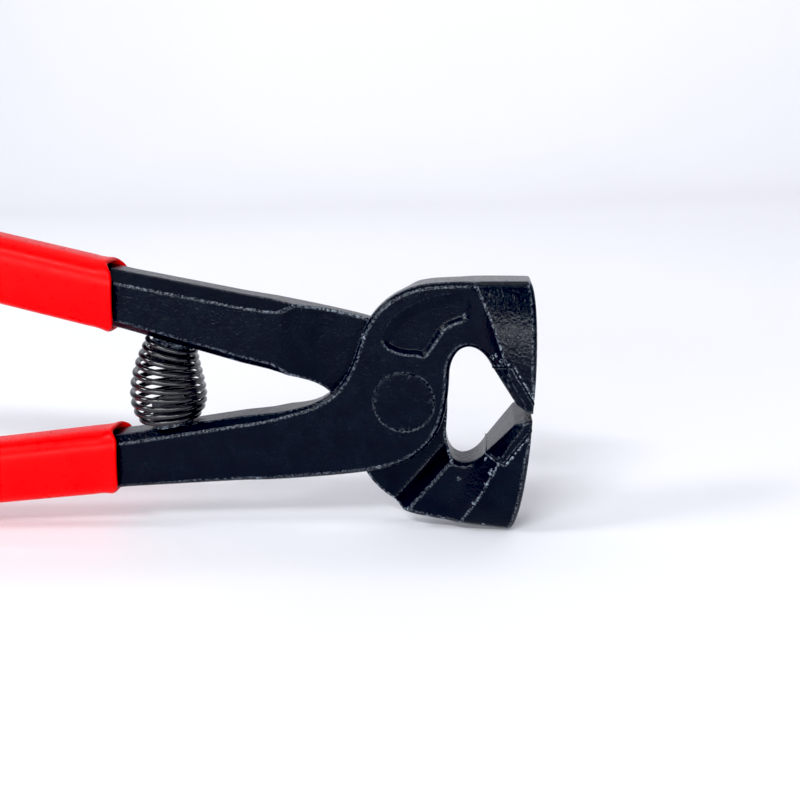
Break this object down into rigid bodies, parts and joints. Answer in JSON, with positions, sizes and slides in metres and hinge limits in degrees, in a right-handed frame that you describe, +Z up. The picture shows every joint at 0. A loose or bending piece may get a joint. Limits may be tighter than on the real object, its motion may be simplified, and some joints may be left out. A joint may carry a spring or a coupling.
{
  "type": "tile nippers",
  "caption": "Hand tile nippers with two crossed forged levers, wide flared jaws with brazed cutting inserts, a barrel return spring on pegs and dipped red grips",
  "frame": {"origin": "centre of the bounding box of the tool at rest", "axes": "+X along the tool toward the front of the jaws, Y along the pivot, +Z up from the lower handle to the upper handle; the tool is symmetric by a half turn about X"},
  "size_m": [0.204, 0.019, 0.0834],
  "materials": {
    "forged_steel": "near-black paint over forged, lightly grained steel",
    "rivet_steel": "ground flush and painted with the levers",
    "carbide": "ground cemented carbide",
    "braze": "thin silver-brass braze line",
    "spring_wire": "glossy black spring wire",
    "peg_steel": "painted with the levers",
    "grip_vinyl": "smooth glossy red dipped vinyl"
  },
  "bodies": {
    "rear": {"rear_lever": "forged_steel", "lower_carbide": "carbide", "lower_braze": "braze", "upper_grip": "grip_vinyl", "upper_spring_peg": "peg_steel", "pivot_rivet": "rivet_steel", "return_spring": "spring_wire"},
    "front": {"front_lever": "forged_steel", "upper_carbide": "carbide", "upper_braze": "braze", "lower_grip": "grip_vinyl", "lower_spring_peg": "peg_steel"}
  },
  "joints": [
    {"name": "pivot", "type": "hinge", "parent": "rear", "child": "front", "pos_m": [0.076, 0, 0], "axis": [0, 1, 0], "range_deg": [-12, 2], "stiffness_Nm_per_rad": 2.6, "deforming": ["return_spring"]}
  ]
}
